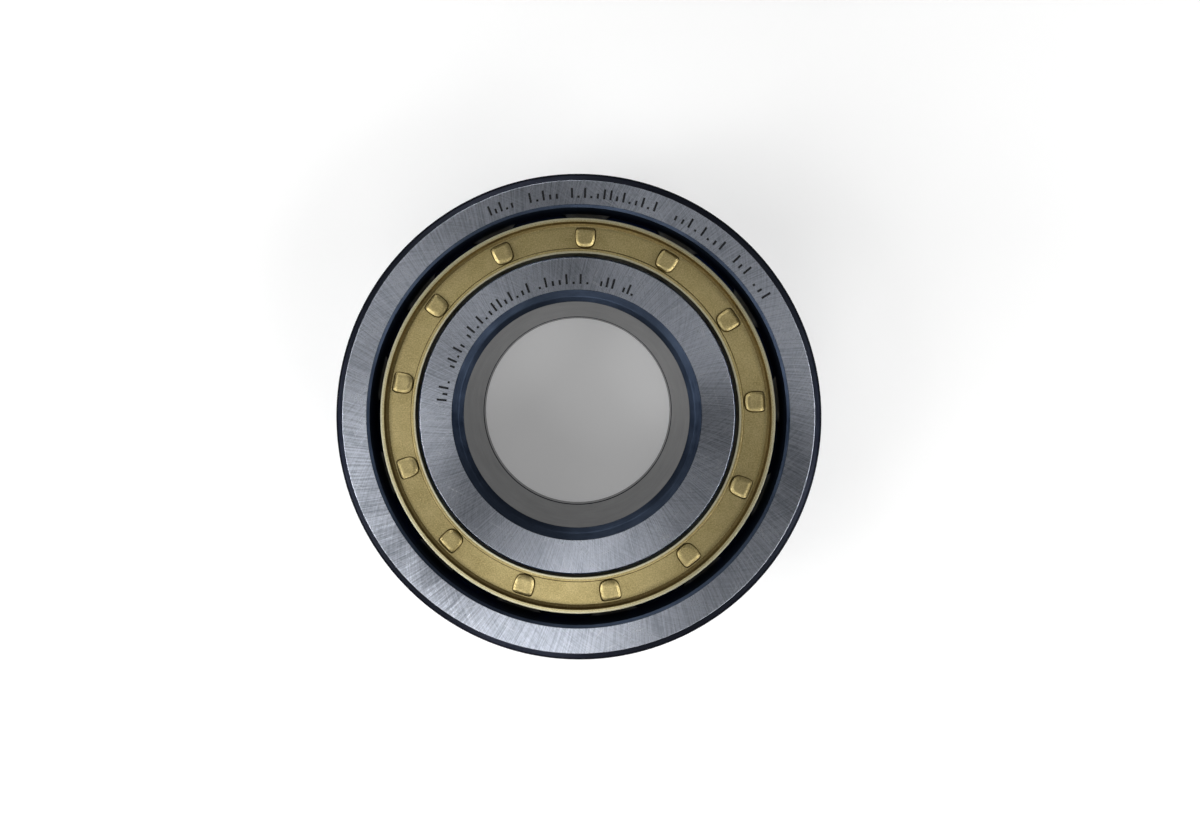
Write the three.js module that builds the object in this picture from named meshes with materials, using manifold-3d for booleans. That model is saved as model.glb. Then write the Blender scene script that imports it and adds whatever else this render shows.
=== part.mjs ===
// Cylindrical roller bearing with a solid brass cage, in millimetres. The bearing axis is +Z, the origin
// is its centre, and the +Z side carries the inner ring's own rib and the riveted cage cover.

import * as THREE from 'three';
import { mergeVertices } from 'three/addons/utils/BufferGeometryUtils.js';
import Module from 'manifold-3d';

const wasm = await Module();
wasm.setup();

// ---- Driving dimensions ----

const BORE_R = 32.5;
const OUTSIDE_R = 70;
const WIDTH = 48;
const OUTER_RACEWAY_R = 62.25;
const INNER_RACEWAY_R = 41.25;
const ROLLER_COUNT = 13;
const ROLLER_LENGTH = 32;

const SEAT_CHAMFER = 3;
const LOOSE_RIB_WIDTH = 7.8;
const RIB_PLAY = 0.1;
const RACEWAY_PLAY = 0.04;
const OUTER_RIB_R = 59.4;
const INNER_RIB_R = 45.1;
const OUTER_RIB_CHAMFER = 0.7;
const INNER_RIB_CHAMFER = 0.5;
const SMALL_CHAMFER = 0.3;
const NARROW_END_CHAMFER = 0.8;
const RELIEF_WIDTH = 1.2;
const RELIEF_DEPTH = 0.25;
const ROLLER_CHAMFER = 0.5;

const CAGE_OUTSIDE_R = 57;
const CAGE_INSIDE_R = 46.6;
const CAGE_LENGTH = 43;
const CAGE_PHASE = THREE.MathUtils.degToRad(86.95);
const POCKET_PLAY = 0.25;
const POCKET_END_PLAY = 0.3;
const COVER_GAP = 0.1;
const GROOVE_OUTSIDE_R = 55.5;
const GROOVE_INSIDE_R = 48.1;
const GROOVE_DEPTH = 1.1;
const TENON = { radial: 4.4, across: 3 };
const HEAD = { centreR: 51.3, base: 5.8, top: 4, height: 0.85 };

const RING_SEGMENTS = 72;
const ROLLER_SEGMENTS = 32;
const POCKET_SEGMENTS = 40;

// ---- Derived dimensions ----

const HALF_WIDTH = WIDTH / 2;
const ROLLER_R = (OUTER_RACEWAY_R - INNER_RACEWAY_R) / 2;
const PITCH_R = (OUTER_RACEWAY_R + INNER_RACEWAY_R) / 2;
const RIB_FACE_Z = ROLLER_LENGTH / 2 + RIB_PLAY;
const POCKET_Z = ROLLER_LENGTH / 2 + POCKET_END_PLAY;
const CAGE_Z = CAGE_LENGTH / 2;
const GROOVE_FLOOR_Z = CAGE_Z - GROOVE_DEPTH;
const ROLLER_STEP = (2 * Math.PI) / ROLLER_COUNT;

// ---- Shape tools ----

// The corner radius of a polygon whose flats lie at the given radius, for surfaces that face inward.
function hollow(radius, segments = RING_SEGMENTS) {
  return radius / Math.cos(Math.PI / segments);
}

// A solid of revolution about Z from an anticlockwise outline of [radius, z] points.
function turned(outline, segments = RING_SEGMENTS) {
  const points = outline.map(([radius, z]) => new THREE.Vector2(radius, z));
  return new THREE.LatheGeometry(points, segments).rotateX(Math.PI / 2);
}

function closed(outline) {
  return [...outline, outline[0]];
}

function toSolid(geometry) {
  const bare = geometry.clone();
  bare.deleteAttribute('normal');
  bare.deleteAttribute('uv');
  const merged = mergeVertices(bare, 1e-4);
  const mesh = new wasm.Mesh({
    numProp: 3,
    vertProperties: new Float32Array(merged.attributes.position.array),
    triVerts: new Uint32Array(merged.index.array),
  });
  return new wasm.Manifold(mesh);
}

function toGeometry(solid) {
  const { vertProperties, triVerts, numProp } = solid.getMesh();
  const positions = [];
  for (let i = 0; i < vertProperties.length; i += numProp) {
    positions.push(vertProperties[i], vertProperties[i + 1], vertProperties[i + 2]);
  }
  const geometry = new THREE.BufferGeometry();
  geometry.setAttribute('position', new THREE.Float32BufferAttribute(positions, 3));
  geometry.setIndex(Array.from(triVerts));
  geometry.computeVertexNormals();
  return geometry;
}

// A block between two heights, centred on the crossbars' radius, with its sides along and across it.
function blockOnBar(radial, across, lowZ, highZ) {
  const block = new THREE.BoxGeometry(radial, across, highZ - lowZ);
  return block.translate(HEAD.centreR, 0, (lowZ + highZ) / 2);
}

// The angle of crossbar number i, counted clockwise as seen from +Z.
function barAngle(i) {
  return CAGE_PHASE - i * ROLLER_STEP;
}

// ---- Rings ----

function outerRing() {
  const ribEdge = OUTER_RIB_R + OUTER_RIB_CHAMFER;
  const faceEdge = OUTSIDE_R - SEAT_CHAMFER;
  const raceway = OUTER_RACEWAY_R + RACEWAY_PLAY;
  const upperHalf = [
    [OUTSIDE_R, HALF_WIDTH - SEAT_CHAMFER],
    [faceEdge, HALF_WIDTH],
    [hollow(ribEdge), HALF_WIDTH],
    [hollow(OUTER_RIB_R), HALF_WIDTH - OUTER_RIB_CHAMFER],
    [hollow(OUTER_RIB_R), RIB_FACE_Z + SMALL_CHAMFER],
    [hollow(OUTER_RIB_R + SMALL_CHAMFER), RIB_FACE_Z],
    [hollow(raceway + RELIEF_DEPTH), RIB_FACE_Z],
    [hollow(raceway + RELIEF_DEPTH), RIB_FACE_Z - RELIEF_WIDTH],
    [hollow(raceway), RIB_FACE_Z - RELIEF_WIDTH - RELIEF_DEPTH],
  ];
  const lowerHalf = upperHalf.map(([radius, z]) => [radius, -z]).reverse();
  return turned(closed([...upperHalf, ...lowerHalf]));
}

function innerRing() {
  const raceway = INNER_RACEWAY_R - RACEWAY_PLAY;
  const endZ = -RIB_FACE_Z;
  return turned(closed([
    [hollow(BORE_R + NARROW_END_CHAMFER), endZ],
    [raceway - NARROW_END_CHAMFER, endZ],
    [raceway, endZ + NARROW_END_CHAMFER],
    [raceway, RIB_FACE_Z - RELIEF_WIDTH - RELIEF_DEPTH],
    [raceway - RELIEF_DEPTH, RIB_FACE_Z - RELIEF_WIDTH],
    [raceway - RELIEF_DEPTH, RIB_FACE_Z],
    [INNER_RIB_R - SMALL_CHAMFER, RIB_FACE_Z],
    [INNER_RIB_R, RIB_FACE_Z + SMALL_CHAMFER],
    [INNER_RIB_R, HALF_WIDTH - INNER_RIB_CHAMFER],
    [INNER_RIB_R - INNER_RIB_CHAMFER, HALF_WIDTH],
    [hollow(BORE_R + SEAT_CHAMFER), HALF_WIDTH],
    [hollow(BORE_R), HALF_WIDTH - SEAT_CHAMFER],
    [hollow(BORE_R), endZ + NARROW_END_CHAMFER],
  ]));
}

function looseRib() {
  const topZ = LOOSE_RIB_WIDTH - HALF_WIDTH;
  return turned(closed([
    [hollow(BORE_R + SEAT_CHAMFER), -HALF_WIDTH],
    [INNER_RIB_R - INNER_RIB_CHAMFER, -HALF_WIDTH],
    [INNER_RIB_R, INNER_RIB_CHAMFER - HALF_WIDTH],
    [INNER_RIB_R, topZ - SMALL_CHAMFER],
    [INNER_RIB_R - SMALL_CHAMFER, topZ],
    [hollow(BORE_R + NARROW_END_CHAMFER), topZ],
    [hollow(BORE_R), topZ - NARROW_END_CHAMFER],
    [hollow(BORE_R), SEAT_CHAMFER - HALF_WIDTH],
  ]));
}

// ---- Rollers ----

function roller() {
  const endZ = ROLLER_LENGTH / 2;
  return turned([
    [0, -endZ],
    [ROLLER_R - ROLLER_CHAMFER, -endZ],
    [ROLLER_R, ROLLER_CHAMFER - endZ],
    [ROLLER_R, endZ - ROLLER_CHAMFER],
    [ROLLER_R - ROLLER_CHAMFER, endZ],
    [0, endZ],
  ], ROLLER_SEGMENTS);
}

// ---- Cage ----

// A comb: the back ring, the crossbars between the pockets, and a riveted tenon on each crossbar.
function cageBody() {
  const barEndZ = POCKET_Z - COVER_GAP;
  const pocketR = hollow(ROLLER_R + POCKET_PLAY, POCKET_SEGMENTS);
  const pocketLength = 2 * POCKET_Z;
  const headZ = GROOVE_FLOOR_Z + COVER_GAP;
  const headTopZ = headZ + HEAD.height;
  let body = toSolid(turned(closed([
    [hollow(CAGE_INSIDE_R), barEndZ],
    [hollow(CAGE_INSIDE_R), SMALL_CHAMFER - CAGE_Z],
    [hollow(CAGE_INSIDE_R + SMALL_CHAMFER), -CAGE_Z],
    [CAGE_OUTSIDE_R - SMALL_CHAMFER, -CAGE_Z],
    [CAGE_OUTSIDE_R, SMALL_CHAMFER - CAGE_Z],
    [CAGE_OUTSIDE_R, barEndZ],
  ])));
  for (let i = 0; i < ROLLER_COUNT; i += 1) {
    const pocket = new THREE.CylinderGeometry(pocketR, pocketR, pocketLength, POCKET_SEGMENTS);
    pocket.rotateX(Math.PI / 2).translate(PITCH_R, 0, 0).rotateZ(barAngle(i + 0.5));
    body = body.subtract(toSolid(pocket));
  }
  for (let i = 0; i < ROLLER_COUNT; i += 1) {
    const tenon = blockOnBar(TENON.radial, TENON.across, barEndZ - 1, headTopZ);
    const head = new THREE.CylinderGeometry(
      HEAD.top * Math.SQRT1_2, HEAD.base * Math.SQRT1_2, HEAD.height, 4);
    head.rotateY(Math.PI / 4).rotateX(Math.PI / 2);
    head.translate(HEAD.centreR, 0, headZ + HEAD.height / 2);
    const rivet = toSolid(tenon).add(toSolid(head));
    body = body.add(rivet.rotate([0, 0, THREE.MathUtils.radToDeg(barAngle(i))]));
  }
  return toGeometry(body);
}

// The front ring, with a shallow groove in its face and a hole for each tenon.
function cageCover() {
  let cover = toSolid(turned(closed([
    [hollow(CAGE_INSIDE_R), POCKET_Z],
    [CAGE_OUTSIDE_R, POCKET_Z],
    [CAGE_OUTSIDE_R, CAGE_Z - SMALL_CHAMFER],
    [CAGE_OUTSIDE_R - SMALL_CHAMFER, CAGE_Z],
    [hollow(GROOVE_OUTSIDE_R), CAGE_Z],
    [hollow(GROOVE_OUTSIDE_R), GROOVE_FLOOR_Z],
    [GROOVE_INSIDE_R, GROOVE_FLOOR_Z],
    [GROOVE_INSIDE_R, CAGE_Z],
    [hollow(CAGE_INSIDE_R + SMALL_CHAMFER), CAGE_Z],
    [hollow(CAGE_INSIDE_R), CAGE_Z - SMALL_CHAMFER],
  ])));
  const holeRadial = TENON.radial + 2 * COVER_GAP;
  const holeAcross = TENON.across + 2 * COVER_GAP;
  for (let i = 0; i < ROLLER_COUNT; i += 1) {
    const hole = blockOnBar(holeRadial, holeAcross, POCKET_Z - 1, CAGE_Z + 1);
    cover = cover.subtract(toSolid(hole.rotateZ(barAngle(i))));
  }
  return toGeometry(cover);
}

// ---- Assembly ----

const RING_STEEL = { color: 0x9ea4ad, roughness: 0.42, metalness: 1 };
const ROLLER_STEEL = { color: 0xb4b6ba, roughness: 0.18, metalness: 1 };
const CAGE_BRASS = { color: 0xa8965c, roughness: 0.5, metalness: 1 };

const bearing = new THREE.Group();

function addPart(name, geometry, finish, parent = bearing) {
  const mesh = new THREE.Mesh(geometry, new THREE.MeshStandardMaterial(finish));
  mesh.name = name;
  parent.add(mesh);
  return mesh;
}

addPart('outer_ring', outerRing(), RING_STEEL);
addPart('inner_ring', innerRing(), RING_STEEL);
addPart('loose_rib', looseRib(), RING_STEEL);
addPart('cage_body', cageBody(), CAGE_BRASS);
addPart('cage_cover', cageCover(), CAGE_BRASS);

for (let i = 0; i < ROLLER_COUNT; i += 1) {
  const angle = barAngle(i + 0.5);
  const name = `roller_${String(i + 1).padStart(2, '0')}`;
  const mesh = addPart(name, roller(), ROLLER_STEEL);
  mesh.position.set(PITCH_R * Math.cos(angle), PITCH_R * Math.sin(angle), 0);
}

export default bearing;
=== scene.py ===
"""Looks of a cylindrical roller bearing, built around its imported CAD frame. Lengths are in millimetres
in this script and are scaled to metres where a mesh is made."""

import math
import random

import bpy
from mathutils import Matrix, Vector


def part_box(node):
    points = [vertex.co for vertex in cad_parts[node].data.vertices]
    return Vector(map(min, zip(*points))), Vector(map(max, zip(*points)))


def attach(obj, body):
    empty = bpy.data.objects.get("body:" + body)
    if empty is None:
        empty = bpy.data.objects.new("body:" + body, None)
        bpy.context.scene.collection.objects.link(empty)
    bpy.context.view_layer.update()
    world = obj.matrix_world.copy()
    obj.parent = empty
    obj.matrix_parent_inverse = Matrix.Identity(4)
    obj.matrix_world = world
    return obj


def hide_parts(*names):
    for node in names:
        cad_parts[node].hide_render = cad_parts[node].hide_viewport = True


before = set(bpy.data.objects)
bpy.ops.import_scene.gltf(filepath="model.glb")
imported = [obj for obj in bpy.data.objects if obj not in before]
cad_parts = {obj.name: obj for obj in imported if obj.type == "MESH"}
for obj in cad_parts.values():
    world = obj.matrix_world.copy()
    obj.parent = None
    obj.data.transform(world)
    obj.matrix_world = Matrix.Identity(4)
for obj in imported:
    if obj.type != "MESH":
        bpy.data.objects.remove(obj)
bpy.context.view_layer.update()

MM = 0.001

# ---- Sizes, as in the CAD model, but for the raceways, which stand 0.04 mm clear of the rollers, and
# ---- ETCH, by which the ring faces are lowered so that the etched marks show ----

BORE_R = 32.5
OUTSIDE_R = 70
HALF_WIDTH = 24
SEAT_CHAMFER = 3
OUTER_RACEWAY_R = 62.29
INNER_RACEWAY_R = 41.21
RIB_FACE_Z = 16.1
OUTER_RIB_R = 59.4
OUTER_RIB_CHAMFER = 0.7
INNER_RIB_R = 45.1
INNER_RIB_CHAMFER = 0.5
NARROW_END_CHAMFER = 0.8
RELIEF_WIDTH = 1.2
RELIEF_DEPTH = 0.25
LOOSE_RIB_TOP_Z = -16.2
ROLLER_R = 10.5
ROLLER_LENGTH = 32
ROLLER_COUNT = 13
CAGE_OUTSIDE_R = 57
CAGE_INSIDE_R = 46.6
CAGE_Z = 21.5
POCKET_R = 10.75
POCKET_Z = 16.3
BAR_END_Z = 16.2
GROOVE_FLOOR_Z = 20.4
GROOVE_OUTSIDE_R = 55.5
GROOVE_INSIDE_R = 48.1
HEAD_R = 51.3
ETCH = 0.015

RING_STEPS = 240
ROLLER_STEPS = 96
FILLET_STEPS = 4
HOLDING_EDGE = 0.06


# ---- Materials ----

class Shader:
    """A node material under construction. Sockets passed as inputs are linked, other values are set."""

    def __init__(self, name):
        self.material = bpy.data.materials.new(name)
        self.material.use_nodes = True
        self.tree = self.material.node_tree
        self.tree.nodes.clear()

    def node(self, kind, inputs, output=0, **settings):
        made = self.tree.nodes.new(kind)
        for key, value in settings.items():
            setattr(made, key, value)
        for key, value in inputs.items():
            if isinstance(value, bpy.types.NodeSocket):
                self.tree.links.new(value, made.inputs[key])
            else:
                made.inputs[key].default_value = value
        return made.outputs[output] if made.outputs else None

    def math(self, operation, a, b=0.0):
        return self.node("ShaderNodeMath", {0: a, 1: b}, operation=operation)

    def vector(self, operation, a, b=(0, 0, 0), output=0):
        return self.node("ShaderNodeVectorMath", {0: a, 1: b}, output, operation=operation)

    def combine(self, x, y, z):
        return self.node("ShaderNodeCombineXYZ", {0: x, 1: y, 2: z})

    def separate(self, vector):
        made = self.tree.nodes.new("ShaderNodeSeparateXYZ")
        self.tree.links.new(vector, made.inputs[0])
        return made.outputs

    def noise(self, vector, scale, detail=2.0, roughness=0.5):
        inputs = {"Vector": vector, "Scale": scale, "Detail": detail, "Roughness": roughness}
        return self.node("ShaderNodeTexNoise", inputs)

    def ramp(self, value, low, high, out_low=0.0, out_high=1.0):
        inputs = {"Value": value, "From Min": low, "From Max": high, "To Min": out_low, "To Max": out_high}
        return self.node("ShaderNodeMapRange", inputs, clamp=True)

    def mix(self, factor, a, b):
        made = self.tree.nodes.new("ShaderNodeMix")
        made.data_type = "RGBA"
        for socket, value in ((made.inputs[0], factor), (made.inputs[6], a), (made.inputs[7], b)):
            if isinstance(value, bpy.types.NodeSocket):
                self.tree.links.new(value, socket)
            else:
                socket.default_value = value
        return made.outputs[2]

    def place(self):
        """The shaded point in the piece's own space, in millimetres."""
        point = self.node("ShaderNodeTexCoord", {}, output=3)
        return self.vector("MULTIPLY", point, (1 / MM, 1 / MM, 1 / MM))

    def polar(self, point):
        """(direction from the axis, radius, height) of a point."""
        x, y, z = self.separate(point)
        flat = self.combine(x, y, 0.0)
        radius = self.vector("LENGTH", flat, output=1)
        return self.vector("NORMALIZE", flat), radius, z

    def along_radius(self, point, across, along, twist=0.0):
        """Coordinates whose noise is streaks that run outwards: across per turn's radius, along per mm."""
        direction, radius, _ = self.polar(point)
        turn = self.math("MULTIPLY", radius, twist)
        turned = self.node("ShaderNodeVectorRotate", {"Vector": direction, "Angle": turn},
                           rotation_type="Z_AXIS")
        x, y, _ = self.separate(self.vector("MULTIPLY", turned, (across, across, across)))
        return self.combine(x, y, self.math("MULTIPLY", radius, along))

    def along_turn(self, point, around, across):
        """Coordinates whose noise is rings: around per turn's radius, across per mm of radius and height."""
        direction, radius, height = self.polar(point)
        x, y, _ = self.separate(self.vector("MULTIPLY", direction, (around, around, around)))
        depth = self.math("MULTIPLY", self.math("ADD", radius, height), across)
        return self.combine(x, y, depth)

    def scratches(self, point, angle, fine, threshold):
        """Thin straight marks at an angle, 0 or 1."""
        turned = self.node("ShaderNodeVectorRotate", {"Vector": point, "Angle": angle},
                           rotation_type="Z_AXIS")
        stretched = self.vector("MULTIPLY", turned, (0.12, fine, 0.3))
        return self.ramp(self.noise(stretched, 1.0, 1.0), threshold, threshold + 0.03)

    def around(self):
        """The direction round the axis, across marks that run outwards."""
        return self.node("ShaderNodeTangent", {}, direction_type="RADIAL", axis="Z")

    def bump(self, height, strength, distance):
        inputs = {"Height": height, "Strength": strength, "Distance": distance * MM}
        return self.node("ShaderNodeBump", inputs)

    def finish(self, inputs):
        shader = self.node("ShaderNodeBsdfPrincipled", inputs)
        self.node("ShaderNodeOutputMaterial", {"Surface": shader})
        return self.material


def ground_steel():
    """Side faces: grinding marks that cross, cloudy patches and a few scratches."""
    s = Shader("ground_steel")
    point = s.place()
    first = s.noise(s.along_radius(point, 150, 0.09, 0.004), 1.0, 3.0, 0.65)
    second = s.noise(s.along_radius(point, 110, 0.09, -0.02), 1.0, 3.0, 0.65)
    marks = s.math("ADD", s.math("MULTIPLY", first, 0.65), s.math("MULTIPLY", second, 0.35))
    clouds = s.noise(point, 0.09, 3.0, 0.6)
    grain = s.noise(point, 1.3, 4.0, 0.75)
    lines = s.scratches(point, 0.5, 3.0, 0.71)
    for angle in (1.3, 2.2, 2.8):
        lines = s.math("MAXIMUM", lines, s.scratches(point, angle, 2.6, 0.73))
    tone = s.math("ADD", s.ramp(marks, 0.40, 0.60, -1.0, 1.0), s.ramp(clouds, 0.35, 0.65, -0.4, 0.4))
    tone = s.math("ADD", tone, s.ramp(grain, 0.35, 0.65, -0.4, 0.4))
    steel = s.mix(s.ramp(tone, -1.3, 1.3), (0.28, 0.305, 0.355, 1), (0.68, 0.72, 0.81, 1))
    colour = s.mix(s.math("MULTIPLY", lines, 0.5), steel, (0.80, 0.82, 0.86, 1))
    return s.finish({
        "Base Color": colour,
        "Metallic": 1.0,
        "Roughness": s.ramp(tone, -1.3, 1.3, 0.38, 0.27),
        "Anisotropic": 0.9,
        "Tangent": s.around(),
        "Normal": s.bump(s.math("ADD", marks, s.math("MULTIPLY", lines, 0.4)), 0.25, 0.05),
    })


def dark_steel(name, dark, light, rough, edge):
    """Chamfers and rib walls: turned, then left dark by hardening, with painted shade that darkens them
    further, most of all towards the X axis.
    """
    s = Shader(name)
    point = s.place()
    rings = s.noise(s.along_turn(point, 6, 5.0), 1.0, 2.0, 0.6)
    clouds = s.noise(point, 0.12, 3.0, 0.6)
    tone = s.math("ADD", s.ramp(rings, 0.3, 0.7, -0.3, 0.3), s.ramp(clouds, 0.3, 0.7, -0.3, 0.3))
    # Painted shade: the tone drops near the X axis, so these surfaces are darker on the left and right.
    _, across, _ = s.separate(point)
    tone = s.math("ADD", tone, s.ramp(s.math("ABSOLUTE", across), 0, 35, -0.8, 0.1))
    return s.finish({
        "Base Color": s.mix(s.ramp(tone, -1.0, 1.0), dark, light),
        "Metallic": 1.0,
        "Specular Tint": edge,
        "Roughness": s.ramp(tone, -1.0, 1.0, rough + 0.08, rough),
        "Normal": s.bump(rings, 0.2, 0.04),
    })


def honed_steel(name, dark, light, rough):
    """Raceways, seats and rollers: fine rings left by honing."""
    s = Shader(name)
    point = s.place()
    rings = s.noise(s.along_turn(point, 3, 5.0), 1.0, 3.0, 0.7)
    smears = s.noise(point, 0.12, 3.0, 0.6)
    tone = s.math("ADD", s.ramp(rings, 0.35, 0.65, -0.7, 0.7), s.ramp(smears, 0.3, 0.7, -0.3, 0.3))
    return s.finish({
        "Base Color": s.mix(s.ramp(tone, -1.0, 1.0), dark, light),
        "Metallic": 1.0,
        "Roughness": s.ramp(tone, -1.0, 1.0, rough + 0.07, rough),
        "Normal": s.bump(rings, 0.08, 0.02),
    })


# The dark brown of the painted shade along the groove's outer wall.
GROOVE_EDGE_SHADE = (0.14, 0.10, 0.04, 1)


def blasted_brass(name, dark, light):
    """The groove floor, rivet heads and cage walls: a fine even grain with paler rubbed spots, and a
    band of painted shade along the groove's outer edge."""
    s = Shader(name)
    point = s.place()
    grain = s.noise(point, 2.4, 3.0, 0.75)
    fine = s.noise(point, 2.6, 1.0)
    clouds = s.noise(point, 0.16, 3.0, 0.6)
    tone = s.math("ADD", s.ramp(grain, 0.36, 0.64, -0.6, 0.6), s.ramp(clouds, 0.3, 0.7, -0.4, 0.4))
    brass = s.mix(s.ramp(tone, -1.0, 1.0), dark, light)
    _, radius, _ = s.polar(point)
    reach = s.math("ADD", radius, s.ramp(clouds, 0.3, 0.7, -0.5, 0.5))
    # Painted shade: the colour darkens towards the groove's outer wall, with a cloudy inner edge.
    brass = s.mix(s.ramp(reach, GROOVE_OUTSIDE_R - 1.9, GROOVE_OUTSIDE_R, 0.0, 0.75), brass, GROOVE_EDGE_SHADE)
    specks = s.ramp(fine, 0.60, 0.68)
    height = s.math("ADD", grain, s.math("MULTIPLY", fine, 0.5))
    return s.finish({
        "Base Color": s.mix(s.math("MULTIPLY", specks, 0.7), brass, light),
        "Metallic": 1.0,
        "Roughness": s.ramp(tone, -1.0, 1.0, 0.56, 0.42),
        "Anisotropic": 0.6,
        "Tangent": s.around(),
        "Normal": s.bump(height, 0.5, 0.07),
    })


def machined_brass(name, dark, light):
    """Turned rims: fine rings and small nicks."""
    s = Shader(name)
    point = s.place()
    rings = s.noise(s.along_turn(point, 10, 6.0), 1.0, 2.0, 0.6)
    nicks = s.ramp(s.noise(point, 2.2, 3.0, 0.8), 0.60, 0.70)
    sparkle = s.noise(point, 3.0, 2.0, 0.8)
    tone = s.math("ADD", s.ramp(rings, 0.3, 0.7, -0.4, 0.4), s.ramp(sparkle, 0.38, 0.62, -0.6, 0.6))
    brass = s.mix(s.ramp(tone, -1.0, 1.0), dark, light)
    return s.finish({
        "Base Color": s.mix(s.math("MULTIPLY", nicks, 0.6), brass, (0.42, 0.36, 0.18, 1)),
        "Metallic": 1.0,
        "Roughness": s.ramp(tone, -1.0, 1.0, 0.48, 0.34),
        "Anisotropic": 0.5,
        "Tangent": s.around(),
        "Normal": s.bump(s.math("SUBTRACT", s.math("ADD", rings, sparkle), nicks), 0.3, 0.06),
    })


def etched_steel():
    """Etched marks: matt and nearly black, with a broken edge of tone."""
    s = Shader("etched_steel")
    blotches = s.noise(s.place(), 3.0, 2.0, 0.6)
    return s.finish({
        "Base Color": s.mix(blotches, (0.004, 0.004, 0.006, 1), (0.016, 0.017, 0.020, 1)),
        "Specular IOR Level": 0.15,
        "Roughness": s.ramp(blotches, 0.0, 1.0, 0.55, 0.75),
    })


def studio_floor():
    s = Shader("studio_floor")
    mottle = s.noise(s.place(), 0.01, 2.0)
    return s.finish({
        "Base Color": s.mix(mottle, (0.76, 0.76, 0.76, 1), (0.80, 0.80, 0.795, 1)),
        "Emission Color": (1, 1, 1, 1),
        "Emission Strength": 0.25,
        "Roughness": s.ramp(mottle, 0.0, 1.0, 0.75, 0.85),
    })


GROUND = ground_steel()
BLACK = dark_steel("black_steel", (0.010, 0.011, 0.015, 1), (0.027, 0.029, 0.037, 1), 0.46,
                   (0.08, 0.09, 0.12, 1))
BLUED = dark_steel("blued_steel", (0.006, 0.009, 0.016, 1), (0.043, 0.058, 0.088, 1), 0.40,
                   (0.26, 0.31, 0.40, 1))
HONED = honed_steel("honed_steel", (0.34, 0.345, 0.36, 1), (0.54, 0.545, 0.56, 1), 0.24)
SKIN = honed_steel("skin_steel", (0.17, 0.175, 0.19, 1), (0.34, 0.35, 0.37, 1), 0.20)
OILED = honed_steel("oiled_steel", (0.025, 0.026, 0.030, 1), (0.070, 0.072, 0.080, 1), 0.28)
BORED = honed_steel("bored_steel", (0.12, 0.122, 0.126, 1), (0.23, 0.23, 0.232, 1), 0.30)
POLISHED = honed_steel("polished_steel", (0.50, 0.50, 0.51, 1), (0.70, 0.70, 0.71, 1), 0.10)
BLASTED = blasted_brass("blasted_brass", (0.36, 0.285, 0.115, 1), (0.72, 0.60, 0.30, 1))
# Painted shade: a dark brass for the walls of the groove and of the rivet-head recesses, where shade falls.
SHADED_BRASS = blasted_brass("stained_brass", (0.10, 0.075, 0.028, 1), (0.24, 0.185, 0.075, 1))
MACHINED = machined_brass("machined_brass", (0.82, 0.75, 0.46, 1), (1.0, 0.97, 0.74, 1))
RUBBED = machined_brass("rubbed_brass", (0.58, 0.50, 0.25, 1), (0.98, 0.88, 0.54, 1))
ETCHED = etched_steel()


# ---- Mesh tools ----

def rounded(corners):
    """Points and finishes of a closed outline. Each corner is (radius, z, fillet, finish of the side after
    it). A fillet becomes an arc, and a holding edge next to it keeps the flat side's shading flat."""
    count = len(corners)
    arcs = []
    for i, (radius, z, fillet, _) in enumerate(corners):
        here = Vector((radius, z))
        before = (Vector(corners[i - 1][:2]) - here).normalized()
        after = (Vector(corners[(i + 1) % count][:2]) - here).normalized()
        if fillet == 0:
            arcs.append([here])
            continue
        half = before.angle(after) / 2
        reach = fillet / math.tan(half)
        centre = here + (before + after).normalized() * (fillet / math.sin(half))
        start = here + before * reach - centre
        sweep = (here + after * reach - centre).angle_signed(start)
        arcs.append([
            centre + Matrix.Rotation(sweep * k / FILLET_STEPS, 2) @ start for k in range(FILLET_STEPS + 1)
        ])
    points, finishes = [], []
    for i, arc in enumerate(arcs):
        finish = corners[i][3]
        points += arc
        finishes += [finish] * len(arc)
        start, end = arc[-1], arcs[(i + 1) % count][0]
        if (end - start).length > 4 * HOLDING_EDGE:
            step = (end - start).normalized() * HOLDING_EDGE
            points += [start + step, end - step]
            finishes += [finish, finish]
    return points, finishes


def make_object(name, points, faces, finishes, finish_order):
    """A mesh object from points in millimetres, with one material slot for each finish."""
    mesh = bpy.data.meshes.new(name)
    mesh.from_pydata([[value * MM for value in point] for point in points], [], faces)
    for finish in finish_order:
        mesh.materials.append(finish)
    slots = {finish: i for i, finish in enumerate(finish_order)}
    mesh.polygons.foreach_set("material_index", [slots[finish] for finish in finishes])
    mesh.update()
    piece = bpy.data.objects.new(name, mesh)
    bpy.context.scene.collection.objects.link(piece)
    return piece


def smooth(piece, degrees=35):
    piece.data.shade_smooth()
    piece.data.set_sharp_from_angle(angle=math.radians(degrees))
    return piece


def turned(name, corners, steps=RING_STEPS):
    """A ring turned about Z from a closed outline of corners, as rounded() takes them."""
    outline, sides = rounded(corners)
    count = len(outline)
    points, faces, finishes = [], [], []
    for step in range(steps):
        angle = 2 * math.pi * step / steps
        points += [(radius * math.cos(angle), radius * math.sin(angle), z) for radius, z in outline]
        here, beyond = step * count, (step + 1) % steps * count
        for i in range(count):
            j = (i + 1) % count
            faces.append((here + i, beyond + i, beyond + j, here + j))
            finishes.append(sides[i])
    return smooth(make_object(name, points, faces, finishes, sorted(set(sides), key=lambda m: m.name)))


def lofted(name, loops, finish):
    """A closed solid through a stack of point loops, from the lowest to the highest."""
    size = len(loops[0])
    points = [point for loop in loops for point in loop]
    faces = [tuple(reversed(range(size)))]
    for level in range(len(loops) - 1):
        low, high = level * size, (level + 1) * size
        for i in range(size):
            j = (i + 1) % size
            faces.append((low + i, low + j, high + j, high + i))
    faces.append(tuple(range((len(loops) - 1) * size, len(loops) * size)))
    return make_object(name, points, faces, [finish] * len(faces), [finish])


def joined(name, parts):
    """One object from several."""
    with bpy.context.temp_override(active_object=parts[0], selected_editable_objects=parts):
        bpy.ops.object.join()
    parts[0].name = name
    return parts[0]


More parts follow.
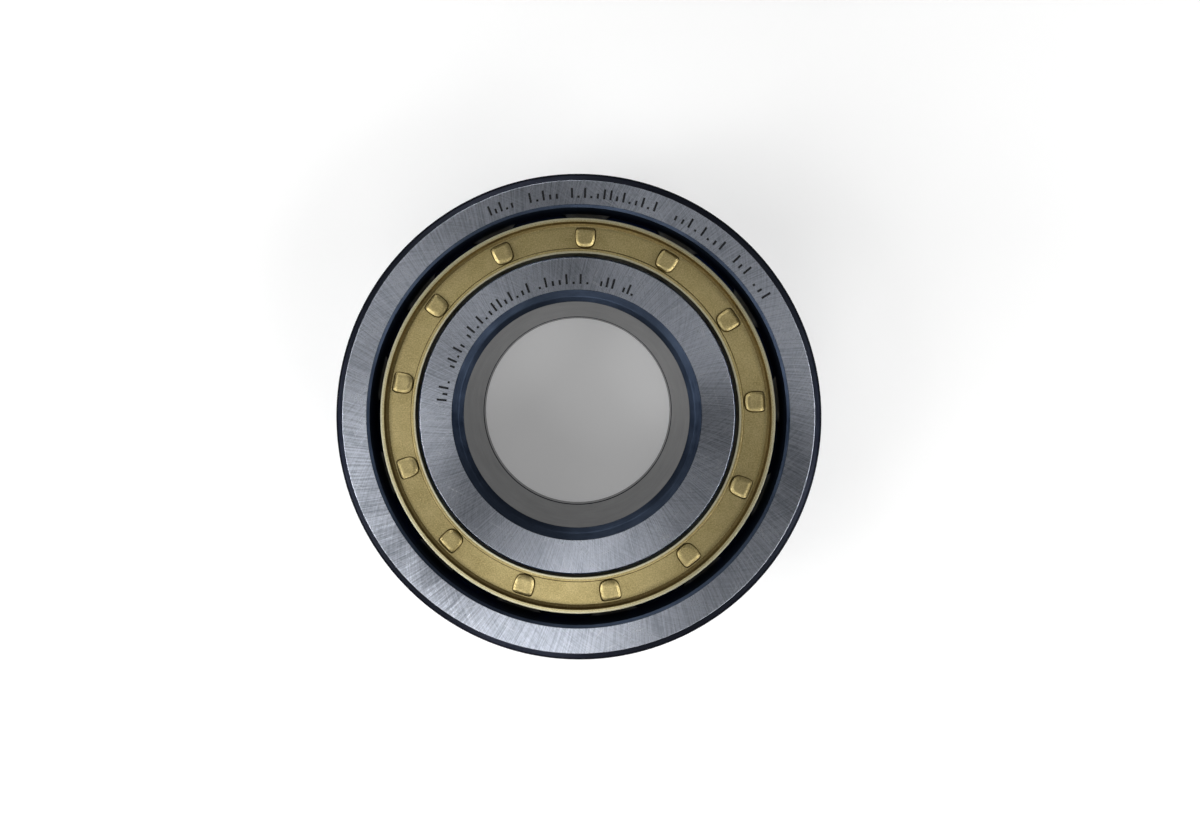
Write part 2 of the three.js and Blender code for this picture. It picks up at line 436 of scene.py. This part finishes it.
def cut(piece, tool, operation):
    """piece after a boolean with tool, which is used up."""
    modifier = piece.modifiers.new("cut", "BOOLEAN")
    modifier.operation = operation
    modifier.solver = "EXACT"
    modifier.object = tool
    bpy.context.view_layer.update()
    mesh = bpy.data.meshes.new_from_object(piece.evaluated_get(bpy.context.evaluated_depsgraph_get()))
    piece.modifiers.clear()
    old = piece.data
    piece.data = mesh
    bpy.data.meshes.remove(old)
    bpy.data.objects.remove(tool)
    return piece


def mounted(piece, body, node):
    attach(piece, body)
    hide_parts(node)
    return piece


# ---- Rings ----

def outer_ring():
    face_edge = OUTSIDE_R - SEAT_CHAMFER
    shoulder_z = HALF_WIDTH - SEAT_CHAMFER
    relief_z = RIB_FACE_Z - RELIEF_WIDTH
    upper = [
        (OUTSIDE_R, shoulder_z, 0.8, BLACK),
        (OUTSIDE_R - 1.25, HALF_WIDTH - 1.25, 1.5, BLACK),
        (face_edge, HALF_WIDTH - ETCH, 0.15, GROUND),
        (OUTER_RIB_R + OUTER_RIB_CHAMFER, HALF_WIDTH - ETCH, 0.12, BLUED),
        (OUTER_RIB_R, HALF_WIDTH - OUTER_RIB_CHAMFER, 0.15, BLUED),
        (OUTER_RIB_R, RIB_FACE_Z + 0.3, 0.1, BLUED),
        (OUTER_RIB_R + 0.3, RIB_FACE_Z, 0.1, OILED),
        (OUTER_RACEWAY_R + RELIEF_DEPTH, RIB_FACE_Z, 0.15, BLUED),
        (OUTER_RACEWAY_R + RELIEF_DEPTH, relief_z, 0.15, BLUED),
        (OUTER_RACEWAY_R, relief_z - RELIEF_DEPTH, 0.05, OILED),
    ]
    finishes = [corner[3] for corner in upper]
    lower = [
        (radius, -z, fillet, finishes[i - 1] if i else SKIN)
        for i, (radius, z, fillet, _) in reversed(list(enumerate(upper)))
    ]
    return turned("outer_ring_steel", upper + lower)


def inner_ring():
    relief_z = RIB_FACE_Z - RELIEF_WIDTH
    chamfer_r = BORE_R + SEAT_CHAMFER
    return turned("inner_ring_steel", [
        (BORE_R + NARROW_END_CHAMFER, -RIB_FACE_Z, 0.1, GROUND),
        (INNER_RACEWAY_R - NARROW_END_CHAMFER, -RIB_FACE_Z, 0.1, BLUED),
        (INNER_RACEWAY_R, NARROW_END_CHAMFER - RIB_FACE_Z, 0.3, HONED),
        (INNER_RACEWAY_R, relief_z - RELIEF_DEPTH, 0.05, BLUED),
        (INNER_RACEWAY_R - RELIEF_DEPTH, relief_z, 0.15, BLUED),
        (INNER_RACEWAY_R - RELIEF_DEPTH, RIB_FACE_Z, 0.15, HONED),
        (INNER_RIB_R - 0.3, RIB_FACE_Z, 0.1, BLUED),
        (INNER_RIB_R, RIB_FACE_Z + 0.3, 0.1, BLUED),
        (INNER_RIB_R, HALF_WIDTH - INNER_RIB_CHAMFER, 0.2, BLUED),
        (INNER_RIB_R - INNER_RIB_CHAMFER, HALF_WIDTH - ETCH, 0.1, GROUND),
        (chamfer_r, HALF_WIDTH - ETCH, 0.15, BLUED),
        (chamfer_r - 1.75, HALF_WIDTH - 1.25, 1.5, BLUED),
        (BORE_R, HALF_WIDTH - SEAT_CHAMFER, 0.4, BORED),
        (BORE_R, NARROW_END_CHAMFER - RIB_FACE_Z, 0.1, BLUED),
    ])


def loose_rib():
    top_z = LOOSE_RIB_TOP_Z
    return turned("loose_rib_steel", [
        (BORE_R + SEAT_CHAMFER, -HALF_WIDTH, 0.15, GROUND),
        (INNER_RIB_R - INNER_RIB_CHAMFER, -HALF_WIDTH, 0.1, BLUED),
        (INNER_RIB_R, INNER_RIB_CHAMFER - HALF_WIDTH, 0.2, BLUED),
        (INNER_RIB_R, top_z - 0.3, 0.1, BLUED),
        (INNER_RIB_R - 0.3, top_z, 0.1, GROUND),
        (BORE_R + NARROW_END_CHAMFER, top_z, 0.1, BLUED),
        (BORE_R, top_z - NARROW_END_CHAMFER, 0.1, BORED),
        (BORE_R, SEAT_CHAMFER - HALF_WIDTH, 0.4, BLUED),
    ])


# ---- Rollers ----

def roller(name, centre):
    end_z = ROLLER_LENGTH / 2
    piece = turned(name, [
        (0.02, -end_z + 0.2, 0, POLISHED),
        (2.6, -end_z + 0.2, 0.3, POLISHED),
        (3.4, -end_z, 0.3, POLISHED),
        (ROLLER_R, -end_z, 0.6, POLISHED),
        (ROLLER_R, end_z, 0.6, POLISHED),
        (3.4, end_z, 0.3, POLISHED),
        (2.6, end_z - 0.2, 0.3, POLISHED),
        (0.02, end_z - 0.2, 0, POLISHED),
    ], ROLLER_STEPS)
    piece.location = centre
    return piece


# ---- Cage ----

def crossbar_angle(i):
    """The angle of crossbar number i, halfway between two rollers."""
    first, last = roller_centre(1), roller_centre(ROLLER_COUNT)
    between = (first + last) / 2
    return math.atan2(between.y, between.x) - i * 2 * math.pi / ROLLER_COUNT


def roller_centre(number):
    low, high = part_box(f"roller_{number:02d}")
    return (low + high) / 2


HEAD_OUTLINE = [
    (1.00, 0.00), (1.00, 0.35), (0.98, 0.64), (0.92, 0.85), (0.77, 0.96), (0.50, 1.00), (0.15, 1.00),
    (-0.20, 0.98), (-0.50, 0.92), (-0.76, 0.79), (-0.92, 0.58), (-0.98, 0.31), (-1.00, 0.00),
]


def head_loop(z, radial, across):
    """The outline of a rivet head about its centre: convex sides, and rounder at its inner end. The
    outline is half of a closed curve, as fractions of the half length outwards and the half width."""
    around = HEAD_OUTLINE + [(x, -y) for x, y in reversed(HEAD_OUTLINE[1:-1])]
    count = len(around)
    loop = []
    for i in range(count):
        before, here, after, beyond = (Vector(around[(i + k) % count]) for k in (-1, 0, 1, 2))
        halfway = (here + after) * 9 / 16 - (before + beyond) / 16
        loop += [Vector((radial * x, across * y, z)) for x, y in (here, halfway)]
    return loop


def placed(loops, angle, twist=0.0, nudge=(0, 0)):
    """Loops about the head's centre moved to their crossbar."""
    move = (Matrix.Rotation(angle, 4, "Z") @ Matrix.Translation((HEAD_R + nudge[0], nudge[1], 0))
            @ Matrix.Rotation(twist, 4, "Z"))
    return [[move @ point for point in loop] for loop in loops]


def rivet_head(i, chance):
    """An upset rivet head on its tenon: steep sides, a bevel all round and a slightly dished top."""
    floor = GROOVE_FLOOR_Z
    bevel = 0.76 + chance.uniform(-0.03, 0.03)
    top = floor + 0.80 + chance.uniform(-0.05, 0.03)
    loops = [
        head_loop(BAR_END_Z - 0.5, 2.15, 1.45),
        head_loop(floor - 0.44, 2.15, 1.45),
        head_loop(floor - 0.42, 2.62, 2.64),
        head_loop(floor + 0.26, 2.76, 2.80),
        head_loop(floor + 0.42, 2.70, 2.74),
        head_loop(top - 0.06, 2.8 * bevel + 0.06, 2.8 * bevel + 0.04),
        head_loop(top, 2.8 * bevel - 0.06, 2.8 * bevel - 0.08),
        head_loop(top - 0.02, 1.2, 1.2),
        head_loop(top - 0.06, 0.5, 0.5),
    ]
    twist = chance.uniform(-0.05, 0.05)
    nudge = (chance.uniform(-0.08, 0.03), chance.uniform(-0.1, 0.1))
    for loop in loops[5:]:
        lean = chance.uniform(-0.05, 0.05)
        for point in loop:
            point.y += lean
    return lofted("rivet_head", placed(loops, crossbar_angle(i), twist, nudge), BLASTED)


def head_recess(i):
    """What a rivet head and its tenon need cut out of the cover. The walls it cuts take the dark brass, a
    painted shade in the crevice round the head.
    """
    floor = GROOVE_FLOOR_Z
    loops = [
        head_loop(POCKET_Z - 1, 2.25, 1.55),
        head_loop(floor - 0.52, 2.25, 1.55),
        head_loop(floor - 0.50, 3.02, 3.06),
        head_loop(CAGE_Z + 1, 3.10, 3.14),
    ]
    return lofted("head_recess", placed(loops, crossbar_angle(i)), SHADED_BRASS)


def cylinder(name, radius, low_z, high_z, centre, finish, steps=ROLLER_STEPS):
    loops = [
        [(centre.x / MM + radius * math.cos(2 * math.pi * k / steps),
          centre.y / MM + radius * math.sin(2 * math.pi * k / steps), z) for k in range(steps)]
        for z in (low_z, high_z)
    ]
    return lofted(name, loops, finish)


def cage_body():
    """The back ring and crossbars, from one turned blank with the pockets cut out, and the rivet heads."""
    blank = turned("cage_body_brass", [
        (CAGE_INSIDE_R, -CAGE_Z, 0.35, MACHINED),
        (CAGE_OUTSIDE_R, -CAGE_Z, 0.35, BLASTED),
        (CAGE_OUTSIDE_R, BAR_END_Z, 0.15, BLASTED),
        (CAGE_INSIDE_R, BAR_END_Z, 0.15, BLASTED),
    ])
    pockets = joined("pockets", [
        cylinder("pocket", POCKET_R, -POCKET_Z, POCKET_Z + 1, roller_centre(i + 1), MACHINED)
        for i in range(ROLLER_COUNT)
    ])
    chance = random.Random(5)
    heads = joined("heads", [rivet_head(i, chance) for i in range(ROLLER_COUNT)])
    return smooth(cut(cut(blank, pockets, "DIFFERENCE"), heads, "UNION"))


def cage_cover():
    """The front ring: bright rims with a painted highlight line along the outer edge, a shallow blasted
    groove with painted shade on its walls, and the recesses of the rivet heads, with painted shade on their
    walls.
    """
    cover = turned("cage_cover_brass", [
        (CAGE_INSIDE_R, POCKET_Z, 0.2, BLASTED),
        (CAGE_OUTSIDE_R, POCKET_Z, 0.2, MACHINED),
        # Painted highlight: the rounded outer edge of the rim and 0.65 mm of its flat take the paler
        # machined brass, a bright line along the edge; the rest of the flat takes the darker rubbed brass.
        (CAGE_OUTSIDE_R, CAGE_Z, 0.3, MACHINED),
        (CAGE_OUTSIDE_R - 0.65, CAGE_Z, 0, RUBBED),
        # Painted shade: the groove's outer wall and its cove take the dark brass.
        (GROOVE_OUTSIDE_R + 0.25, CAGE_Z, 0.15, SHADED_BRASS),
        (GROOVE_OUTSIDE_R - 0.15, GROOVE_FLOOR_Z + 0.3, 0.15, SHADED_BRASS),
        (GROOVE_OUTSIDE_R - 0.9, GROOVE_FLOOR_Z, 0.3, BLASTED),
        # Painted shade: the groove's inner wall takes the same dark brass.
        (GROOVE_INSIDE_R + 0.1, GROOVE_FLOOR_Z, 0.2, SHADED_BRASS),
        (GROOVE_INSIDE_R - 0.25, CAGE_Z - 0.35, 0.12, BLASTED),
        (CAGE_INSIDE_R + 0.6, CAGE_Z - 0.35, 0, MACHINED),
        (CAGE_INSIDE_R, CAGE_Z - 0.35, 0.2, MACHINED),
    ])
    recesses = joined("recesses", [head_recess(i) for i in range(ROLLER_COUNT)])
    return smooth(cut(cover, recesses, "DIFFERENCE"))


# ---- Etched marks ----

MARK_HEIGHT = 2.9
MARK_PATTERN = "IiI.iI.IiiI.I.iI"


def etched_mark(radius, angle, kind):
    """One plain mark: I is a full bar, i a half bar and . a dot. The angle is clockwise from +Y."""
    tall = {"I": MARK_HEIGHT, "i": MARK_HEIGHT / 2, ".": 0.65}[kind]
    wide = 0.65 if kind == "." else 0.62
    place = Matrix.Rotation(-angle, 4, "Z") @ Matrix.Translation((0, radius, 0))
    loops = []
    for z in (HALF_WIDTH - 0.05, HALF_WIDTH):
        corners = [(-wide, 0), (wide, 0), (wide, tall), (-wide, tall)]
        loops.append([place @ Vector((x / 2, y - MARK_HEIGHT / 2, z)) for x, y in corners])
    return lofted("mark", loops, ETCHED)


def etched_marks(name, radius, groups):
    """Groups of marks on an arc. A group is (start, end, number of marks), in degrees clockwise from +Y."""
    parts = []
    for start, end, count in groups:
        for k in range(count):
            angle = math.radians(start + (end - start) * k / (count - 1))
            parts.append(etched_mark(radius, angle, MARK_PATTERN[len(parts) % len(MARK_PATTERN)]))
    return joined(name, parts)


# ---- The object ----

mounted(outer_ring(), "outer_ring", "outer_ring")
mounted(inner_ring(), "inner_ring", "inner_ring")
mounted(loose_rib(), "loose_rib", "loose_rib")
mounted(cage_body(), "cage", "cage_body")
mounted(cage_cover(), "cage", "cage_cover")
for number in range(1, ROLLER_COUNT + 1):
    node = f"roller_{number:02d}"
    mounted(roller(f"{node}_steel", roller_centre(number)), node, node)

outer_marks = etched_marks("outer_ring_marks", 63.4, [
    (-23, -17, 5), (-12, -5, 5), (-1, 21, 14), (27, 41, 8), (46, 50, 3), (54, 58, 3),
])
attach(outer_marks, "outer_ring")
inner_marks = etched_marks("inner_ring_marks", 38.6, [
    (-84, -76, 4), (-69, -59, 5), (-54, -21, 13), (-16, 5, 8), (11, 16, 3), (21, 25, 3),
])
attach(inner_marks, "inner_ring")


# ---- Stage, light and camera ----

BOX_HEIGHT = 0.3
BOX_DISTANCE = 0.8
FLOOR_R = 650
FLOOR_SIDES = 96
FLOOR_GAP = 0.05

# name, bearing, height, power in watts, width
SOFT_BOXES = [
    ("right_low", 98, 12, 4.8, 0.55),
    ("left_low", 262, 12, 4.7, 0.45),
    ("near_low", 193, 12, 2.4, 0.35),
    ("far_low", 342, 12, 2.3, 0.50),
    ("left_window", 243, 35, 1.7, 0.30),
    ("right_window", 133, 35, 1.9, 0.40),
    ("far_window", 315, 40, 0.5, 0.30),
    ("near_window", 217, 55, 0.6, 0.30),
]


def floor():
    points = [
        (FLOOR_R * math.cos(angle), FLOOR_R * math.sin(angle), -HALF_WIDTH - FLOOR_GAP)
        for angle in (2 * math.pi * k / FLOOR_SIDES for k in range(FLOOR_SIDES))
    ]
    return make_object("floor", points, [tuple(range(FLOOR_SIDES))], [FLOOR], [FLOOR])


def soft_box(name, bearing, height, power, width):
    """An area light aimed at the object. The bearing is clockwise from +Y, the height is above the floor,
    and both are in degrees. The width is in metres."""
    data = bpy.data.lights.new(name, "AREA")
    data.shape = "RECTANGLE"
    data.size = width
    data.size_y = BOX_HEIGHT
    data.energy = power
    aim = Matrix.Rotation(-math.radians(bearing), 3, "Z") @ Matrix.Rotation(math.radians(height), 3, "X")
    lamp = bpy.data.objects.new(name, data)
    lamp.location = aim @ Vector((0, BOX_DISTANCE, 0))
    lamp.rotation_euler = (-lamp.location).to_track_quat("-Z", "Y").to_euler()
    bpy.context.scene.collection.objects.link(lamp)


def sky(zenith, horizon, falloff):
    """A soft surround with a bright band at the horizon that fades upwards."""
    world = bpy.data.worlds.new("studio")
    bpy.context.scene.world = world
    world.use_nodes = True
    nodes, links = world.node_tree.nodes, world.node_tree.links
    coords = nodes.new("ShaderNodeTexCoord")
    height = nodes.new("ShaderNodeSeparateXYZ")
    blend = nodes.new("ShaderNodeMix")
    blend.data_type = "RGBA"
    blend.inputs[6].default_value = (*zenith, 1)
    blend.inputs[7].default_value = (*horizon, 1)
    links.new(coords.outputs["Generated"], height.inputs[0])
    fade = nodes.new("ShaderNodeMath")
    fade.operation = "SUBTRACT"
    fade.use_clamp = True
    fade.inputs[0].default_value = 1
    links.new(height.outputs[2], fade.inputs[1])
    band = nodes.new("ShaderNodeMath")
    band.operation = "POWER"
    band.inputs[1].default_value = falloff
    links.new(fade.outputs[0], band.inputs[0])
    links.new(band.outputs[0], blend.inputs[0])
    links.new(blend.outputs[2], nodes["Background"].inputs["Color"])


def camera():
    data = bpy.data.cameras.new("camera")
    data.lens = 19
    data.sensor_width = 36
    data.shift_x = 0.03
    data.shift_y = -0.0333
    data.clip_start = 0.005
    eye = bpy.data.objects.new("camera", data)
    eye.location = (0.0020, 0.0065, 0.204)
    eye.rotation_euler = (math.radians(1.7), math.radians(1.72), 0)
    bpy.context.scene.collection.objects.link(eye)
    bpy.context.scene.camera = eye


FLOOR = studio_floor()
floor()
sky(zenith=(0.13, 0.13, 0.13), horizon=(1.2, 1.2, 1.2), falloff=6)
for light in SOFT_BOXES:
    soft_box(*light)
bpy.context.scene.view_settings.view_transform = "Standard"
camera()
